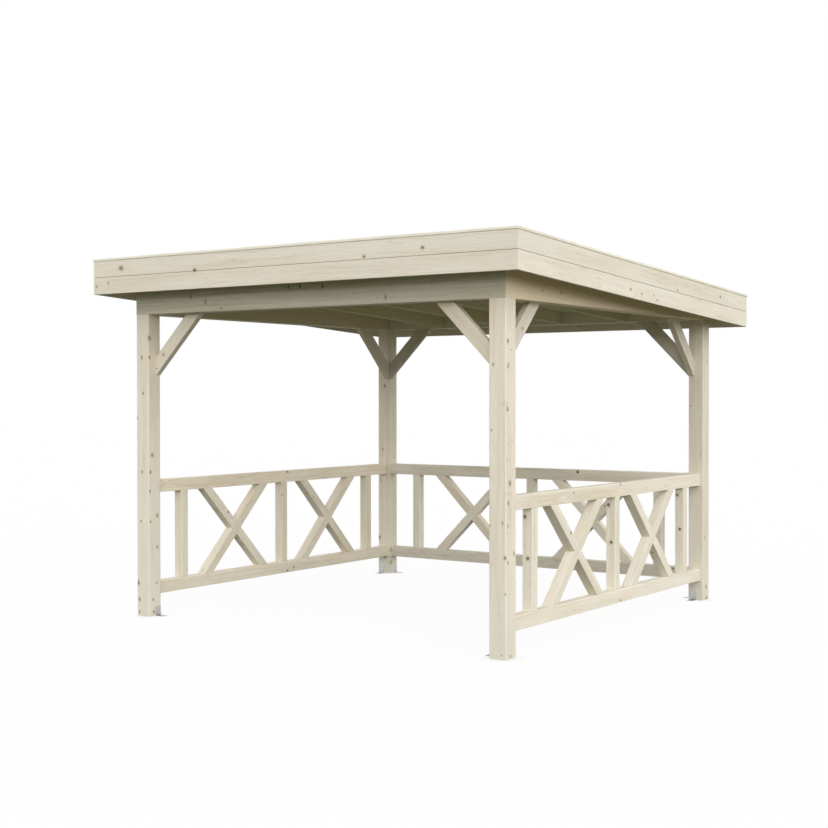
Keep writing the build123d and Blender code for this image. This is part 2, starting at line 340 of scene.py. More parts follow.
def knotWood(tree, share, brown, look):
    # darkest in the middle and at the bark line round it
    whorl = calc(tree, "MULTIPLY_ADD", calc(tree, "SINE", calc(tree, "MULTIPLY", share, 15)), 0.25, 0.5)
    wood = tint(tree, ease(tree, share, 0.15, 0.95), look["knotHeart"], look["knotRim"])
    wood = tint(tree, calc(tree, "MULTIPLY", whorl, 0.5), wood, look["knotHeart"])
    wood = tint(tree, calc(tree, "MULTIPLY", brown, 0.45), wood, look["knotHalo"])
    bark = calc(tree, "MULTIPLY", ease(tree, share, 0.74, 0.88), ease(tree, share, 1.08, 0.97))
    return tint(tree, calc(tree, "MULTIPLY", bark, 0.7), wood, look["knotHeart"])


def coatWood(tree, wood, marks, look):
    # smoother on late wood, knots and rubbed edges, where fibres, rings and knots stand up a little
    fibre, ring, knot = marks["fibre"], marks["ring"], marks["knot"]
    rough = calc(tree, "MULTIPLY_ADD", ring, -0.10, look["roughness"])
    rough = calc(tree, "ADD", rough, calc(tree, "MULTIPLY_ADD", fibre, 0.16, -0.08))
    rough = calc(tree, "SUBTRACT", rough, calc(tree, "MULTIPLY", knot, 0.18))
    rough = calc(tree, "SUBTRACT", rough, calc(tree, "MULTIPLY", marks["worn"], 0.10))
    height = calc(tree, "ADD", calc(tree, "MULTIPLY", fibre, 0.55), calc(tree, "MULTIPLY", ring, 0.5))
    height = calc(tree, "ADD", height, calc(tree, "MULTIPLY", knot, 0.6))
    height = calc(tree, "SUBTRACT", height, calc(tree, "MULTIPLY", marks["check"], 1.6))
    gloss = {"IOR": 1.45, "Specular IOR Level": look["gloss"]}
    coat(tree, wood, rough, height, look["relief"], 0.6, **gloss)


def softwood(name, knots=(), **changes):
    look = {**softwoodLook, **changes}
    material, tree = newMaterial(name)
    grain = put(tree, "ShaderNodeAttribute", attribute_name="grain").outputs["Vector"]
    tone = put(tree, "ShaderNodeAttribute", attribute_name="tone").outputs["Vector"]
    board = partsOf(tree, tone)
    share, brown = knotField(tree, grain, knots, look)
    knot = ease(tree, share, 1.08, 0.94)
    halo = ease(tree, share, 2.6, 0.9)
    radius, late = growthRings(tree, grain, share, board[2], look)
    marks = {"knot": knot, "ring": late, **woodMarks(tree, grain, radius, board[2], look)}
    wood = plainWood(tree, marks, board, look)
    insideKnot = knotWood(tree, share, brown, look)
    wood = tint(tree, calc(tree, "MULTIPLY", halo, look["haloStrength"]), wood, look["knotHalo"])
    wood = tint(tree, calc(tree, "MULTIPLY", knot, look["knotDepth"]), wood, insideKnot)
    coatWood(tree, wood, marks, look)
    return material


# Knots listed on the sides that are seen most. On posts: height, and share of the way across
# the face from its left edge. Elsewhere: place along the timber, and height. A third number is the
# knot's own radius. All lengths are in metres.
handKnots = {
    "post_front_left": {
        "front": [(1.88, 0.45), (1.62, 0.55), (1.44, 0.05), (1.05, 0.45), (0.69, 0.35), (0.24, 0.10),
                  (0.12, 0.20), (0.03, 0.20)],
        "right": [(2.02, 0.10), (1.88, 0.10), (1.17, 0.30), (1.05, 0.15), (0.91, 0.10), (0.73, 0.70),
                  (0.69, 0.15), (0.50, 0.70), (0.24, 0.65), (0.12, 0.35), (0.03, 0.40)],
    },
    "post_front_right": {
        "front": [(1.79, 0.25, 0.006), (1.39, 0.15, 0.004), (0.83, 0.80, 0.005), (0.40, 0.97, 0.004),
                  (0.62, 0.95), (0.03, 0.75, 0.003)],
        "right": [(1.93, 0.20), (1.79, 0.25, 0.006), (1.52, 0.15), (1.33, 0.60, 0.004), (1.07, 0.40),
                  (0.95, 0.25), (0.81, 0.20, 0.006), (0.64, 0.80), (0.59, 0.20, 0.006),
                  (0.02, 0.45, 0.005)],
    },
    "post_back_left": {
        "front": [(1.69, 0.60), (1.12, 0.40), (0.32, 0.10), (0.20, 0.25), (0.15, 0.60)],
        "right": [(0.21, 0.20), (0.10, 0.20)],
    },
    "post_back_right": {
        "front": [(1.52, 0.15, 0.004)],
        "right": [(1.86, 0.65, 0.005), (0.49, 0.30), (0.10, 0.55), (0.01, 0.60)],
    },
    "fascia_front_upper": [(1.10, 2.50), (-1.49, 2.51, 0.014), (-0.78, 2.46, 0.011), (0.66, 2.47)],
    "fascia_front_lower": [(-1.74, 2.39, 0.006), (-1.62, 2.41, 0.006)],
    "fascia_right_upper": [(0.46, 2.35), (1.25, 2.35)],
    "fascia_right_lower": [
        (-0.30, 2.31, 0.007), (-0.13, 2.29, 0.006), (0.06, 2.29, 0.005), (0.12, 2.26, 0.006)],
    "front_beam": [(-1.02, 2.30), (-0.88, 2.26), (0.16, 2.32), (-0.03, 2.33), (-0.13, 2.33), (0.67, 2.23)],
    "right_beam": [(-1.13, 2.26), (-0.88, 2.26)],
    "front_braces": [(-1.36, 1.90, 0.009), (-1.43, 1.80, 0.006)],
    "right_braces": [(-1.25, 2.02)],
    "left_top_rail": [(0.02, 0.98, 0.008)],
    "left_bottom_rail": [(0.02, 0.17, 0.008)],
    "right_top_rail": [(0.03, 0.98, 0.007), (-0.66, 0.96, 0.006)],
    "right_bottom_rail": [(0.03, 0.17, 0.007), (-0.66, 0.19, 0.004)],
    "back_top_rail": [(0.45, 0.97)],
    "back_bottom_rail": [(1.30, 0.23)],
    "left_crosses_falling": [(-0.70, 0.70)],
    "right_crosses_falling": [(-0.70, 0.70)],
    "back_crosses_falling": [(0.70, 0.70)],
}
knotRadii = (0.0085, 0.0060, 0.0105, 0.0072)  # for the knots that have none of their own
balusterKnots = {"heightAndShare": [(0.84, 0.25), (0.58, 0.55)], "radius": 0.010}
# painted shade: dark patches drawn as knots where the falling arms of a left cross are in shade
paintedShadePatches = [((-1.50, -0.78, 0.73), 0.016), ((-1.50, -0.49, 0.44), 0.016)]  # under a left cross


def placedKnots():
    # each knot as a point on the face it is seen on, and its radius
    groups = {"post": [], "beam": [], "rail": [], "square": [], "edge": []}
    dice = random.Random("knots")

    def add(group, point, own):
        usual = dice.choice(knotRadii)
        groups[group].append((Vector(point), own[0] if own else usual))

    for node, knots in handKnots.items():
        low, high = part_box(node)
        if node.startswith("post"):
            for height, share, *own in knots["front"]:
                add("post", (low.x + (high.x - low.x) * share, low.y, height), own)
            for height, share, *own in knots["right"]:
                add("post", (high.x, low.y + (high.y - low.y) * share, height), own)
            continue
        group = "beam"
        if "fascia" in node:
            group = "edge"
        elif "rail" in node:
            group = "rail"
        elif "cross" in node:
            group = "square"
        for along, height, *own in knots:
            if node.startswith(("front", "back", "fascia_front")):
                add(group, (along, low.y, height), own)
            else:
                add(group, (high.x, along, height), own)
    for solid in solidsIn("right_balusters"):
        low = min((vertex.co for vertex in solid.verts), key=lambda co: co.x + co.y)
        wide = max(vertex.co.x for vertex in solid.verts) - low.x
        for height, share in balusterKnots["heightAndShare"]:
            add("square", (low.x + wide * share, low.y, height), [balusterKnots["radius"]])
        solid.free()
    # the squares' knots also take the patches of painted shade
    groups["square"] += paintedShadePatches
    return groups


steelLook = {
    "colour": colour(0.60, 0.59, 0.60),
    "dull": colour(0.42, 0.41, 0.41),
    "flakeWear": 0.55,
    "smearWear": 0.35,
    "relief": 0.0003,
}


def steel(name, roughness, spangle):
    # spangle is the width of one flake of zinc
    material, tree = newMaterial(name)
    place = placeIn(tree)
    flakes = put(tree, "ShaderNodeTexVoronoi", {"Vector": place, "Scale": 1 / spangle})
    flake = chances(tree, flakes)[0]
    smear = cloud(tree, place, 40, 3)
    wear = calc(tree, "MULTIPLY", flake, steelLook["flakeWear"], clamp=True)
    wear = calc(tree, "ADD", wear, calc(tree, "MULTIPLY", smear, steelLook["smearWear"]), clamp=True)
    zinc = tint(tree, wear, steelLook["colour"], steelLook["dull"])
    rough = calc(tree, "MULTIPLY_ADD", flake, 0.16, roughness)
    coat(tree, zinc, rough, smear, steelLook["relief"], 0.3, Metallic=1)
    return material


feltLook = {
    "bitumen": colour(0.040, 0.041, 0.042),
    "granules": colour(0.150, 0.152, 0.150),
    "paleGranules": colour(0.300, 0.300, 0.290),
    "granuleSize": 0.0022,
    "weathered": colour(0.72, 0.72, 0.70),
    "dust": colour(0.270, 0.262, 0.240),
    "dustStrength": 0.30,
    "moss": colour(0.105, 0.125, 0.060),
    "mossStrength": 0.30,
    "roughness": 0.93,
    "relief": 0.0011,
}


def roofingFelt(name):
    material, tree = newMaterial(name)
    place = placeIn(tree)
    grit = put(tree, "ShaderNodeTexVoronoi", {"Vector": place, "Scale": 1 / feltLook["granuleSize"]})
    chance = chances(tree, grit)
    patches = cloud(tree, place, 2.2, 4, 0.6)
    covered = calc(tree, "LESS_THAN", chance[0], calc(tree, "MULTIPLY_ADD", patches, 0.5, 0.50))
    mineral = tint(tree, ease(tree, chance[1], 0.55, 1.0), feltLook["granules"], feltLook["paleGranules"])
    felt = tint(tree, covered, feltLook["bitumen"], mineral)
    felt = tint(tree, ease(tree, patches, 0.35, 0.75), felt, feltLook["weathered"], "MULTIPLY")
    # faint runs of dust washed down the slope, and moss here and there
    runs = cloud(tree, shift(tree, "MULTIPLY", place, (9, 0.8, 1)), 1, 3, 0.55)
    dust = calc(tree, "MULTIPLY", ease(tree, runs, 0.50, 0.74), feltLook["dustStrength"])
    felt = tint(tree, dust, felt, feltLook["dust"])
    moss = ease(tree, cloud(tree, place, 7, 5, 0.65), 0.62, 0.72)
    felt = tint(tree, calc(tree, "MULTIPLY", moss, feltLook["mossStrength"]), felt, feltLook["moss"])
    height = calc(tree, "MULTIPLY", calc(tree, "SUBTRACT", 1, grit.outputs["Distance"]), covered)
    coat(tree, felt, feltLook["roughness"], height, feltLook["relief"], 0.8)
    return material


knotsAndShadePatches = placedKnots()
postWood = softwood(
    "softwoodPosts", knotsAndShadePatches["post"], cast=(1.03, 1.03, 1.04), knotShare=0.42, knotDepth=0.66,
    dampStrength=0.34)
braceWood = softwood(
    "softwoodBraces", knotsAndShadePatches["beam"], cast=(1.01, 1.01, 1.02), knotShare=0.42, knotDepth=0.62,
    knotStretch=(1, 1, 1))
# painted shade: the front beam's colour is cast about a quarter darker, for the shade under the roof's
# overhang, with a little of its own greyer tone
frontBeamPaintedShadeWood = softwood(
    "softwoodFrontBeamPaintedShade", knotsAndShadePatches["beam"], cast=(0.72, 0.74, 0.71), bandStrength=0.55,
    fleckStrength=0.45, knotDepth=0.60, knotStretch=(1.2, 1.2, 0.7))
railWood = softwood(
    "softwoodRails", knotsAndShadePatches["rail"], cast=(1.04, 1.05, 1.07), bandStrength=0.46,
    fleckStrength=0.40, knotShare=0.16, knotStretch=(1, 1, 1), knotDepth=0.95)
# the squares' knots include patches of painted shade under a left cross
squareWood = softwood(
    "softwoodSquares", knotsAndShadePatches["square"], cast=(1.03, 1.04, 1.055), bandStrength=0.40,
    fleckStrength=0.30, knotShare=0.20, knotStretch=(1, 1, 1), knotDepth=0.95)
edgeWood = softwood(
    "softwoodRoofEdge", knotsAndShadePatches["edge"], cast=(0.97, 0.98, 1.00), knotShare=0.25,
    knotStretch=(0.8, 0.8, 1))
# painted light: the capping is cast paler and cooler, partly its own pale wood, partly standing in for
# light from above
cappingWoodPaintedLight = softwood("softwoodCappingPaintedLight", cast=(1.04, 1.08, 1.13), knotShare=0.3, ringStrength=0.46)
roofWood = softwood(
    "softwoodRoof", sapwood=colour(0.715, 0.705, 0.540), boardSpread=0.04, bandStrength=0.42,
    wornStrength=0.10, roughness=0.88, gloss=0.03)
galvanised = steel("galvanisedSteel", roughness=0.36, spangle=0.011)
brightZinc = steel("brightZinc", roughness=0.28, spangle=0.004)
mineralFelt = roofingFelt("mineralFelt")
print("materials made")


# A kind of timber: how far its edges are eased and in how many steps, how far off the tree's pith
# it was sawn and how far aside, the gap below it, and the ranges of its shade and its warmth.
# One step of shade is boardSpread, and one step of warmth is boardWarmth.
timber = {
    "arris": 0.0020,
    "arrisSteps": 3,
    "pith": (0.02, 0.06),
    "pithShift": 0.03,
    "gap": 0,
    "shade": (-1, 1),
    "warm": (-1, 1),
    "logLength": (5, 60),  # places along the grain to start from, so that no two timbers look alike
    "rings": (0, 80),
}
postTimber = {**timber, "arris": 0.0012, "arrisSteps": 2, "pith": (-0.03, 0.03)}
# painted shade: the back right post is made darker, for the shade under the roof, and a little warmer in
# tone
backRightPostPaintedShade = {**postTimber, "shade": (-2.2, -1.8), "warm": (2, 3)}
beamTimber = {**timber, "arris": 0.0025, "pith": (0.02, 0.07), "pithShift": 0.04, "warm": (-1, 0)}
leftBeamTimber = {**beamTimber, "shade": (0.2, 0.8), "warm": (6, 8)}
rightBeamTimber = {**beamTimber, "shade": (5.8, 6.4), "warm": (14, 16)}
# painted shade: the back beam is made a little darker, for the shade under the roof
backBeamPaintedShade = {**beamTimber, "shade": (-1.5, -0.7)}
rafterTimber = {**timber, "pith": (0.02, 0.05), "shade": (-0.6, 0.4)}
braceTimber = {**timber, "arris": 0.0025, "pith": (0.03, 0.07)}
# painted shade: the back braces are made much darker, for the shade under the back of the roof
backBracesPaintedShade = {**braceTimber, "shade": (-6.2, -4.8)}
# painted shade: the back one of the right braces is made darker, for the shade under the roof, and a
# little warmer in tone
rightBackBracePaintedShade = {**braceTimber, "shade": (-3.2, -2.6), "warm": (0, 1)}
railTimber = {**timber, "arrisSteps": 2, "pithShift": 0.02}
# painted light: the left rails are made lighter, for the light reaching their inner faces under the roof,
# and warmer in tone
leftRailPaintedLight = {**railTimber, "shade": (1.6, 2.4), "warm": (3, 5)}
# painted shade: the right rails are made a little darker, against the strong light that falls on them from
# the right
rightRailPaintedShade = {**railTimber, "shade": (-1.6, 0.4)}
# painted shade: the back rails are made darker, the bottom one most, for the shade under the roof
backRailPaintedShade = {**railTimber, "shade": (-2.8, -1.6)}
lowBackRailPaintedShade = {**railTimber, "shade": (-3.8, -2.6)}
squareTimber = {**timber, "arris": 0.0030, "pith": (0.015, 0.05), "pithShift": 0.02}
# painted shade: the left balusters and crosses are made a little darker, against the strong light on their
# sides, and a little warmer in tone
leftSquarePaintedShade = {**squareTimber, "shade": (-0.8, 0.4), "warm": (0, 3)}
fasciaTimber = {**timber, "pith": (0.04, 0.11)}
upperFascia = {**fasciaTimber, "gap": 0.0022}
# painted light: the capping timber is a step lighter as well
cappingTimberPaintedLight = {**timber, "arris": 0.0025, "pith": (0.03, 0.08), "pithShift": 0.02, "shade": (0.5, 1.5)}


def newStock():
    return {"points": [], "faces": [], "grain": [], "tone": [], "worn": []}


def breadth(face):
    # a face's area, and its direction where two faces are as large as each other
    return round(face.calc_area(), 5), [round(part, 3) for part in face.normal]


def openGap(solid, along, gap):
    # the upper of two boards stands a little clear of the lower one
    rise = along.cross(up.cross(along)).normalized()
    middle = middleOf(solid)
    for vertex in solid.verts:
        if (vertex.co - middle).dot(rise) < 0:
            vertex.co.z += gap


def easeEdges(solid, kind):
    # rounds the sharp edges over and gives back the new faces
    sharp = [
        edge for edge in solid.edges
        if len(edge.link_faces) == 2 and edge.is_convex and edge.calc_face_angle() > math.radians(25)]
    return set(bmesh.ops.bevel(
        solid, geom=sharp, offset=kind["arris"], segments=kind["arrisSteps"],
        profile=0.5, affect="EDGES", clamp_overlap=True)["faces"])


def layTimber(stock, solid, kind, dice):
    # eases the solid's edges, then gives each corner its place in the log that it was sawn from
    longest = max(solid.edges, key=lambda edge: round(edge.calc_length(), 4))
    along = oneWay((longest.verts[1].co - longest.verts[0].co).normalized())
    sides = [face for face in solid.faces if abs(face.normal.dot(along)) < 0.2]
    broad = max(sides, key=breadth).normal
    broad = (broad - along * broad.dot(along)).normalized()
    if dice.random() < 0.5:
        along = -along
    if dice.random() < 0.5:
        broad = -broad
    across = along.cross(broad)
    if kind["gap"]:
        openGap(solid, along, kind["gap"])
    start = dice.uniform(*kind["logLength"])
    depth = dice.uniform(*kind["pith"])
    pith = Vector((start, depth, dice.uniform(-1, 1) * kind["pithShift"]))
    tone = (dice.uniform(*kind["shade"]), dice.uniform(*kind["warm"]), dice.uniform(*kind["rings"]))
    middle = middleOf(solid)
    eased = easeEdges(solid, kind) if kind["arris"] else set()
    first = len(stock["points"])
    solid.verts.index_update()
    for vertex in solid.verts:
        offset = vertex.co - middle
        stock["points"].append(vertex.co.copy())
        stock["grain"].append(Vector((offset.dot(along), offset.dot(broad), offset.dot(across))) + pith)
        stock["tone"].append(tone)
    stock["faces"] += [[first + vertex.index for vertex in face.verts] for face in solid.faces]
    stock["worn"] += [float(face in eased) for face in solid.faces]
    solid.free()


def finishPiece(name, mesh, material, replaced=()):
    piece = bpy.data.objects.new(name, mesh)
    scene.collection.objects.link(piece)
    mesh.materials.append(material)
    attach(piece, "root")
    if replaced:
        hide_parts(*replaced)
    return piece


def stockPiece(name, stock, material, replaced=()):
    mesh = bpy.data.meshes.new(name)
    mesh.from_pydata(stock["points"], [], stock["faces"])
    for layer in ("grain", "tone"):
        data = mesh.attributes.new(layer, "FLOAT_VECTOR", "POINT").data
        data.foreach_set("vector", [number for entry in stock[layer] for number in entry])
    mesh.attributes.new("worn", "FLOAT", "FACE").data.foreach_set("value", stock["worn"])
    mesh.polygons.foreach_set("use_smooth", [True] * len(mesh.polygons))
    mesh.update()
    piece = finishPiece(name, mesh, material, replaced)
    flatten = piece.modifiers.new("flatFaces", "WEIGHTED_NORMAL")
    flatten.weight = 100
    flatten.keep_sharp = True


def timberPiece(node, material, *kinds):
    # one kind of timber for each solid from the left or the front, where the last kind serves the rest
    dice = random.Random(node)
    stock = newStock()
    for index, solid in enumerate(solidsIn(node)):
        layTimber(stock, solid, kinds[min(index, len(kinds) - 1)], dice)
    stockPiece(node + "_wood", stock, material, [node])


for corner in ("front_left", "front_right", "back_left"):
    timberPiece("post_" + corner, postWood, postTimber)
timberPiece("post_back_right", postWood, backRightPostPaintedShade)
timberPiece("front_beam", frontBeamPaintedShadeWood, beamTimber)
timberPiece("back_beam", braceWood, backBeamPaintedShade)
timberPiece("left_beam", braceWood, leftBeamTimber)
timberPiece("right_beam", braceWood, rightBeamTimber)
timberPiece("front_braces", braceWood, braceTimber)
timberPiece("left_braces", braceWood, braceTimber)
timberPiece("right_braces", braceWood, braceTimber, rightBackBracePaintedShade)
timberPiece("back_braces", braceWood, backBracesPaintedShade)
for side in ("front", "back", "left", "right"):
    timberPiece("fascia_" + side + "_lower", edgeWood, fasciaTimber)
    timberPiece("fascia_" + side + "_upper", edgeWood, upperFascia)
for side, lowRail, topRail, square in (
        ("left", leftRailPaintedLight, leftRailPaintedLight, leftSquarePaintedShade),
        ("back", lowBackRailPaintedShade, backRailPaintedShade, squareTimber),
        ("right", rightRailPaintedShade, rightRailPaintedShade, squareTimber)):
    timberPiece(side + "_bottom_rail", railWood, lowRail)
    timberPiece(side + "_top_rail", railWood, topRail)
    for part in ("_balusters", "_crosses_rising", "_crosses_falling"):
        timberPiece(side + part, squareWood, square)
timberPiece("capping_ends", cappingWoodPaintedLight, cappingTimberPaintedLight)
timberPiece("capping_sides", cappingWoodPaintedLight, cappingTimberPaintedLight)
timberPiece("rafters", roofWood, rafterTimber)
print("timbers made")


screw = {"head": 0.0046, "headHeight": 0.0026, "socket": 0.0022, "socketDepth": 0.0014, "sides": 24}
bracketScrews = {"heights": (0.022, 0.052), "plate": 0.0025}
braceScrews = {"inset": 0.030, "apart": 0.018, "stagger": 0.014, "sunk": 0.0008}


def turnBody(metal, profile, place, toward, sides, turn=0.0):
    # a turned body: each step of the profile is a radius and a height along its axis
    aside = toward.orthogonal().normalized()
    ahead = toward.cross(aside)
    rings = []
    for radius, height in profile:
        ring = []
        for index in range(sides):
            angle = turn + math.tau * index / sides
            spoke = aside * math.cos(angle) + ahead * math.sin(angle)
            ring.append(metal.verts.new(place + toward * height + spoke * radius))
        rings.append(ring)
    metal.faces.new(rings[0][::-1])
    metal.faces.new(rings[-1])
    for lower, upper in zip(rings, rings[1:]):
        for index in range(sides):
            following = (index + 1) % sides
            metal.faces.new((lower[index], lower[following], upper[following], upper[index]))


def layScrew(metal, place, toward, turn):
    # a domed head with a round socket for the driver
    head, height = screw["head"], screw["headHeight"]
    socket, floor = screw["socket"], height - screw["socketDepth"]
    profile = [
        (head * 0.97, 0), (head, height * 0.15), (head * 0.95, height * 0.50),
        (head * 0.80, height * 0.80), (head * 0.60, height * 0.96), (socket * 1.12, height),
        (socket, height * 0.96), (socket * 0.9, floor)]
    turnBody(metal, profile, place, toward, screw["sides"], turn)


def metalPiece(name, metal, material):
    bmesh.ops.recalc_face_normals(metal, faces=metal.faces)
    for face in metal.faces:
        face.smooth = True
    for edge in metal.edges:
        edge.smooth = edge.calc_face_angle(0) < math.radians(35)
    mesh = bpy.data.meshes.new(name)
    metal.to_mesh(mesh)
    metal.free()
    finishPiece(name, mesh, material)


def makeBracketScrews(corner):
    # one screw through each hole in the brackets' upright legs
    dice = random.Random("screws " + corner)
    metal = bmesh.new()
    low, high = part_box("post_" + corner)
    post = (low + high) / 2
    for bracket in solidsIn("foot_brackets_" + corner):
        place = middleOf(bracket)
        axis = 0 if abs(place.x - post.x) > abs(place.y - post.y) else 1
        toward = Vector((0, 0, 0))
        toward[axis] = math.copysign(1, place[axis] - post[axis])
        # the leg against the post is the end of the bracket that lies nearest to it
        leg = min((vertex.co[axis] for vertex in bracket.verts), key=lambda at: at * toward[axis])
        place[axis] = leg + toward[axis] * bracketScrews["plate"]
        bracket.free()
        for height in bracketScrews["heights"]:
            place.z = height
            layScrew(metal, place, toward, dice.uniform(0, 1))
    metalPiece("foot_screws_" + corner, metal, brightZinc)


def makeBraceScrews(side):
    # two screws at each end of a knee brace, driven up through its lower edge
    dice = random.Random("brace screws " + side)
    metal = bmesh.new()
    for brace in solidsIn(side + "_braces"):
        sloping = [face for face in brace.faces if -0.9 < face.normal.z < -0.5]
        under = max(sloping, key=lambda face: face.calc_area())
        toward = under.normal.copy()
        middle = under.calc_center_median()
        slope = max(under.edges, key=lambda edge: edge.calc_length())
        reach = slope.verts[1].co - slope.verts[0].co
        along = oneWay(reach.normalized())
        across = along.cross(toward).normalized()
        half = reach.length / 2 - braceScrews["inset"]
        for end in (-1, 1):
            for offset, stagger in ((-0.5, 0), (0.5, braceScrews["stagger"])):
                place = middle + along * end * (half - stagger)
                place += across * offset * braceScrews["apart"] - toward * braceScrews["sunk"]
                layScrew(metal, place, toward, dice.uniform(0, 1))
        brace.free()
    metalPiece(side + "_brace_screws", metal, brightZinc)


for corner in ("front_left", "front_right", "back_left", "back_right"):
    makeBracketScrews(corner)
for side in ("front", "back", "left", "right"):
    makeBraceScrews(side)
print("screws driven")


def roofSurface(node):
    # a corner of the roof layer at the front and its directions down the slope and up through it
    points = [vertex.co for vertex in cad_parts[node].data.vertices]
    frontY, backY = min(point.y for point in points), max(point.y for point in points)
    frontLow = min((p for p in points if p.y < frontY + 0.01), key=lambda p: p.z)
    backLow = min((p for p in points if p.y > backY - 0.01), key=lambda p: p.z)
    left, right = min(point.x for point in points), max(point.x for point in points)
    down = Vector((0, backY - frontY, backLow.z - frontLow.z))
    return Vector((left, frontY, frontLow.z)), down, right - left


def prism(section, start, run):
    # a straight solid from a closed section, given as points, swept along run
    solid = bmesh.new()
    near = [solid.verts.new(start + point) for point in section]
    far = [solid.verts.new(start + point + run) for point in section]
    solid.faces.new(near[::-1])
    solid.faces.new(far)
    for index in range(len(section)):
        following = (index + 1) % len(section)
        solid.faces.new((near[index], near[following], far[following], far[index]))
    bmesh.ops.recalc_face_normals(solid, faces=solid.faces)
    return solid


roofBoards = {
    **timber, "arris": 0, "pith": (0.02, 0.09), "pithShift": 0.04,
    "boards": 37, "vDepth": 0.0035, "joint": 0.0004, "thickness": 0.019,
}


def makeRoofBoards():
    dice = random.Random("roof boards")
    start, down, width = roofSurface("roof_boards")
    pitch = down / roofBoards["boards"]
    step = pitch.normalized()
    joint, vDepth, thickness = roofBoards["joint"], roofBoards["vDepth"], roofBoards["thickness"]
    far = pitch.length - joint
    section = [
        step * (joint + vDepth), step * (far - vDepth), step * far + up * vDepth,
        step * far + up * thickness, step * joint + up * thickness, step * joint + up * vDepth]
    stock = newStock()
    for index in range(roofBoards["boards"]):
        board = prism(section, start + pitch * index, Vector((width, 0, 0)))
        layTimber(stock, board, roofBoards, dice)
    stockPiece("roof_boards_matched", stock, roofWood, ["roof_boards"])


makeRoofBoards()
print("roof boards made")


roofFelt = {
    "strips": 4,
    "lap": 0.08,
    "lapRise": 3,  # the step up onto a lap takes one third of the lap
    "thickness": 0.003,
    "sag": 0.0012,
    "waves": ((5.1, 4, 1.0), (11.7, 9, 0.6)),  # turns across and down, and strength
    "phases": (0, 6.3),  # where each wave may start
    "flatEdge": 0.2,
    "ragged": 0.0012,
    "raggedTurns": 47,
    "columns": 60,
    "rows": 14,
}


def stripStride():
    # how far each strip of felt starts below the one above it
    length = roofSurface("roof_felt")[1].length
    count, lap = roofFelt["strips"], roofFelt["lap"]
    return (length + lap * (count - 1)) / count - lap


def feltPiece(name, sheet, node, thickness):
    mesh = bpy.data.meshes.new(name)
    sheet.to_mesh(mesh)
    sheet.free()
    piece = finishPiece(name, mesh, mineralFelt, [node])
    thicken = piece.modifiers.new("thickness", "SOLIDIFY")
    thicken.thickness = thickness
    thicken.offset = -1


def feltRise(x, fall, width, phases):
    # how far the felt stands off its boards: level along its sides and wavy between them
    wave = sum(
        strength * math.sin(x * across + phases[index * 2])
        * math.sin(fall * downward + phases[index * 2 + 1])
        for index, (across, downward, strength) in enumerate(roofFelt["waves"]))
    inside = min(1, x / roofFelt["flatEdge"], (width - x) / roofFelt["flatEdge"])
    return roofFelt["sag"] * (0.5 + 0.5 * wave) * inside


def layStrip(sheet, top, bottom, phases, lapsOver):
    # one strip of felt, which steps up where it laps over the strip below it
    start, down, width = roofSurface("roof_felt")
    columns, rows, lap = roofFelt["columns"], roofFelt["rows"], roofFelt["lap"]
    step = down.normalized()
    grid = []
    for row in range(rows + 1):
        fall = row / rows
        place = top + (bottom - top) * fall
        onLap = max(0, 1 - (bottom - place) / lap)
        lift = roofFelt["thickness"] * (1 + min(1, onLap * roofFelt["lapRise"]) * lapsOver)
        line = []
        for column in range(columns + 1):
            x = width * column / columns
            rise = lift + feltRise(x, fall, width, phases)
            ragged = roofFelt["ragged"] * math.sin(x * roofFelt["raggedTurns"] + phases[1])
            run = place + ragged * (row == rows and lapsOver)
            line.append(sheet.verts.new(start + Vector((x, 0, 0)) + step * run + up * rise))
        grid.append(line)
    for upper, lower in zip(grid, grid[1:]):
        for column in range(columns):
            sheet.faces.new((upper[column], lower[column], lower[column + 1], upper[column + 1]))


def makeFelt():
    # strips from the lowest to the highest, where each laps over the one below it
    dice = random.Random("felt")
    length = roofSurface("roof_felt")[1].length
    count, stride = roofFelt["strips"], stripStride()
    sheet = bmesh.new()
    for strip in range(count - 1, -1, -1):
        top = stride * strip
        bottom = min(top + stride + roofFelt["lap"], length)
        phases = [dice.uniform(*roofFelt["phases"]) for _ in range(4)]
        layStrip(sheet, top, bottom, phases, strip < count - 1)
    bmesh.ops.recalc_face_normals(sheet, faces=sheet.faces)
    for face in sheet.faces:
        if face.normal.z < 0:
            face.normal_flip()
        face.smooth = True
    feltPiece("felt_strips", sheet, "roof_felt", roofFelt["thickness"])


feltSkirt = {
    "height": 0.083,
    "cove": 0.018,
    "coveSteps": 6,
    "coveTop": 1.3,  # where the cove starts and ends, as shares of its radius
    "coveEnd": 1.4,
    "foot": 0.05,
    "clear": 0.0004,
    "raised": 0.0012,
    "thickness": 0.0018,
}


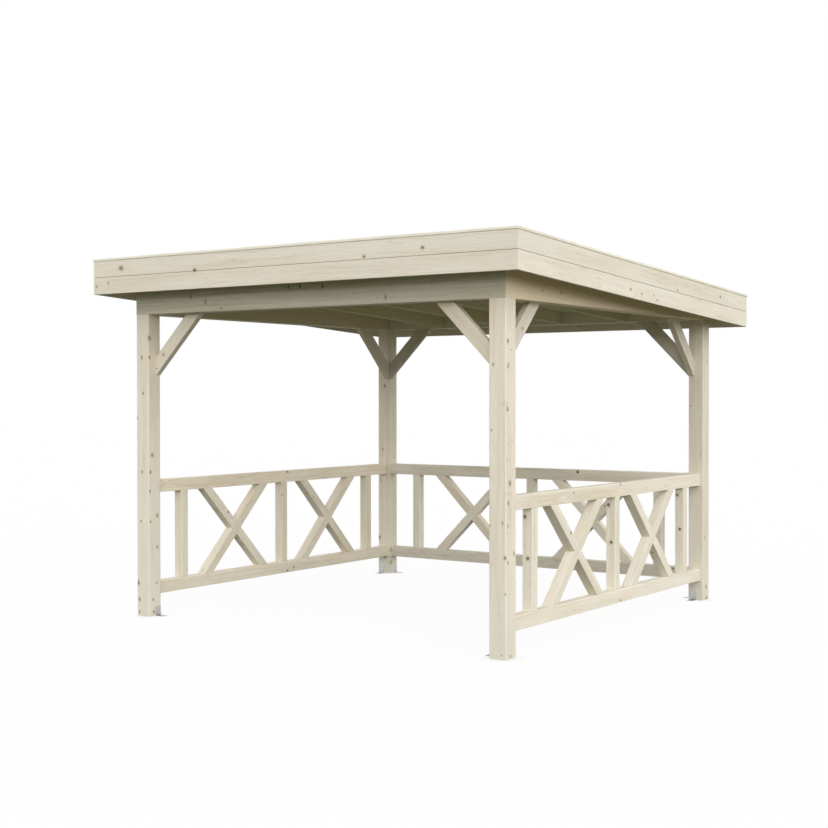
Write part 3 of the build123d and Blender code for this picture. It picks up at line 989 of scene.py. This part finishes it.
def makeUpstands():
    # a coved skirt of felt on each edge of the roof, from the flat felt up to the capping
    start, down, width = roofSurface("roof_felt")
    cove, clear, raised = feltSkirt["cove"], feltSkirt["clear"], feltSkirt["raised"]
    start = start + up * (roofFelt["thickness"] + raised)
    across = Vector((width, 0, 0))
    corners = [start, start + across, start + across + down, start + down]
    section = [(clear, feltSkirt["height"]), (clear, cove * feltSkirt["coveTop"])]
    for index in range(1, feltSkirt["coveSteps"]):
        turn = math.radians(90 * index / feltSkirt["coveSteps"])
        section.append((cove * (1 - math.cos(turn)) + clear, cove * (1 - math.sin(turn))))
    coveEnd = cove * feltSkirt["coveEnd"]
    section += [(coveEnd, raised), (coveEnd + feltSkirt["foot"], raised)]
    inward = [Vector((1, 1, 0)), Vector((-1, 1, 0)), Vector((-1, -1, 0)), Vector((1, -1, 0))]
    slope = down.z / down.y
    skirt = bmesh.new()
    loops = []
    for out, height in section:
        loop = []
        for corner, turn in zip(corners, inward):
            loop.append(skirt.verts.new(corner + turn * out + up * (height + turn.y * out * slope)))
        loops.append(loop)
    for upper, lower in zip(loops, loops[1:]):
        for index in range(4):
            following = (index + 1) % 4
            skirt.faces.new((upper[index], upper[following], lower[following], lower[index]))
    bmesh.ops.recalc_face_normals(skirt, faces=skirt.faces)
    centre = (corners[0] + corners[2]) / 2
    for face in skirt.faces:
        if face.normal.dot(centre + up * 0.3 - face.calc_center_median()) < 0:
            face.normal_flip()
        face.smooth = True
    for edge in skirt.edges:
        edge.smooth = edge.calc_face_angle(0) < math.radians(50)
    feltPiece("felt_skirt", skirt, "felt_upstands", feltSkirt["thickness"])


clouts = {"apart": 0.10, "fromEdge": 0.022, "strayAcross": 0.008, "strayDown": 0.003,
          "head": 0.0050, "headHeight": 0.0010, "shank": 0.002, "sides": 12}


def makeClouts():
    # flat-headed nails in a row along each lap, a little above the strip's lower edge
    dice = random.Random("clouts")
    start, down, width = roofSurface("roof_felt")
    step = down.normalized()
    toward = Vector((1, 0, 0)).cross(step)
    lift = roofFelt["thickness"] * 2 + roofFelt["sag"]
    head, height = clouts["head"], clouts["headHeight"]
    profile = [(head, -clouts["shank"]), (head, height * 0.6), (head * 0.85, height)]
    across, along = clouts["strayAcross"], clouts["strayDown"]
    metal = bmesh.new()
    for strip in range(1, roofFelt["strips"]):
        edge = stripStride() * strip + roofFelt["lap"] - clouts["fromEdge"]
        for index in range(1, round(width / clouts["apart"])):
            x = index * clouts["apart"] + dice.uniform(-across, across)
            place = start + Vector((x, 0, 0)) + step * (edge + dice.uniform(-along, along)) + up * lift
            turnBody(metal, profile, place, toward, clouts["sides"])
    metalPiece("felt_nails", metal, galvanised)


makeFelt()
makeUpstands()
makeClouts()
print("felt laid")


sky = {
    # brightness at the horizon, at the shoulder that lies shoulderRise above it, and overhead
    "horizon": 0.83,
    "shoulder": 1.42,
    "shoulderRise": 0.35,
    "zenith": 0.30,
    "brighterSide": (0.95, -0.10, 0.0),
    "sideways": 0.08,
    "colour": colour(1, 0.985, 0.955),
    "background": colour(1, 1, 1),
}


def seenDirectly(tree):
    # camera, mirror and glass rays, which see a plain white room
    path = put(tree, "ShaderNodeLightPath").outputs
    seen = calc(tree, "ADD", path["Is Camera Ray"], path["Is Glossy Ray"], clamp=True)
    return calc(tree, "ADD", seen, path["Is Transmission Ray"], clamp=True)


def makeWorld():
    world = bpy.data.worlds.new("studioLight")
    scene.world = world
    world.use_nodes = True
    tree = world.node_tree
    tree.nodes.clear()
    direction = put(tree, "ShaderNodeTexCoord").outputs["Generated"]
    rise = calc(tree, "MAXIMUM", partsOf(tree, direction)[2], 0.0)
    level = ease(tree, rise, 0, sky["shoulderRise"], (sky["horizon"], sky["shoulder"]))
    level = calc(tree, "MULTIPLY", level, ease(
        tree, rise, sky["shoulderRise"], 1, (1, sky["zenith"] / sky["shoulder"])))
    toward = put(
        tree, "ShaderNodeVectorMath", {0: direction, 1: sky["brighterSide"]}, operation="DOT_PRODUCT")
    level = calc(tree, "MULTIPLY", level, calc(
        tree, "MULTIPLY_ADD", toward.outputs["Value"], sky["sideways"], 1))
    light = put(tree, "ShaderNodeBackground", {"Color": sky["colour"], "Strength": level})
    white = put(tree, "ShaderNodeBackground", {"Color": sky["background"], "Strength": 1})
    mixed = put(tree, "ShaderNodeMixShader", {
        0: seenDirectly(tree), 1: light.outputs[0], 2: white.outputs[0]})
    put(tree, "ShaderNodeOutputWorld", {"Surface": mixed.outputs[0]})


paperFloor = {
    "paper": colour(0.86, 0.86, 0.87),
    "glow": colour(1, 1, 1),
    "bounce": colour(0.124, 0.130, 0.082),
    "shade": 0.06,  # share of the paper in what is seen, which keeps the object's shadow
    "paintedContactShadow": 0.16,
    "paintedShadowReach": 0.10,
    "half": 60,
}


def makeFloor():
    material, tree = newMaterial("studioFloor")
    # painted contact shadow: the glowing floor is darkened by ambient occlusion close round the feet and
    # brackets
    near = put(tree, "ShaderNodeAmbientOcclusion", {"Distance": paperFloor["paintedShadowReach"]}, samples=8)
    paintedContactShadow = paperFloor["paintedContactShadow"]
    level = calc(tree, "MULTIPLY_ADD", calc(tree, "POWER", near.outputs["AO"], 1.5), paintedContactShadow, 1 - paintedContactShadow)
    glow = put(tree, "ShaderNodeEmission", {"Color": paperFloor["glow"], "Strength": level})
    lit = put(tree, "ShaderNodeBsdfDiffuse", {"Color": paperFloor["paper"]})
    shown = put(tree, "ShaderNodeMixShader", {
        0: paperFloor["shade"], 1: glow.outputs[0], 2: lit.outputs[0]})
    bounce = put(tree, "ShaderNodeBsdfDiffuse", {"Color": paperFloor["bounce"]})
    mixed = put(tree, "ShaderNodeMixShader", {
        0: seenDirectly(tree), 1: bounce.outputs[0], 2: shown.outputs[0]})
    put(tree, "ShaderNodeOutputMaterial", {"Surface": mixed.outputs[0]})
    mesh = bpy.data.meshes.new("studioFloor")
    half = paperFloor["half"]
    corners = [(-half, -half, 0), (half, -half, 0), (half, half, 0), (-half, half, 0)]
    mesh.from_pydata(corners, [], [(0, 1, 2, 3)])
    mesh.materials.append(material)
    floor = bpy.data.objects.new("studioFloor", mesh)
    scene.collection.objects.link(floor)


# each lamp's bearing from straight in front, its height and its width in degrees, and its power
lamps = {
    "key": {"bearing": 46, "height": 38, "width": 50, "power": 1.00},
    "low": {"bearing": 24, "height": 9, "width": 8, "power": 0.45},
    "right": {"bearing": 85, "height": 10, "width": 26, "power": 0.50},
    "fill": {"bearing": 215, "height": 35, "width": 80, "power": 0.40},
}


def makeLamps():
    for name, values in lamps.items():
        lamp = bpy.data.lights.new(name, "SUN")
        lamp.energy = values["power"]
        lamp.angle = math.radians(values["width"])
        holder = bpy.data.objects.new(name, lamp)
        turn, rise = math.radians(values["bearing"]), math.radians(values["height"])
        level = math.cos(rise)
        toward = Vector((math.sin(turn) * level, -math.cos(turn) * level, math.sin(rise)))
        holder.rotation_euler = toward.to_track_quat("Z", "Y").to_euler()
        holder.location = toward * 12
        scene.collection.objects.link(holder)


viewpoint = {"place": (5.882, -8.856, 1.600), "angles": (89.257, 0.057, 34.45), "lens": 60.98,
             "sensorWidth": 36, "farthest": 200}


def makeCamera():
    camera = bpy.data.cameras.new("camera")
    camera.sensor_width = viewpoint["sensorWidth"]
    camera.lens = viewpoint["lens"]
    camera.clip_end = viewpoint["farthest"]
    holder = bpy.data.objects.new("camera", camera)
    holder.location = viewpoint["place"]
    holder.rotation_euler = [math.radians(angle) for angle in viewpoint["angles"]]
    scene.collection.objects.link(holder)
    scene.camera = holder


makeWorld()
makeLamps()
makeFloor()
makeCamera()
scene.view_settings.view_transform = "Standard"
print("studio set")

# the foot brackets stay as the CAD has them, in zinc
for name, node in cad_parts.items():
    if name.startswith("foot_brackets"):
        for slot in node.material_slots:
            slot.link = "OBJECT"
            slot.material = galvanised
print("brackets galvanised")
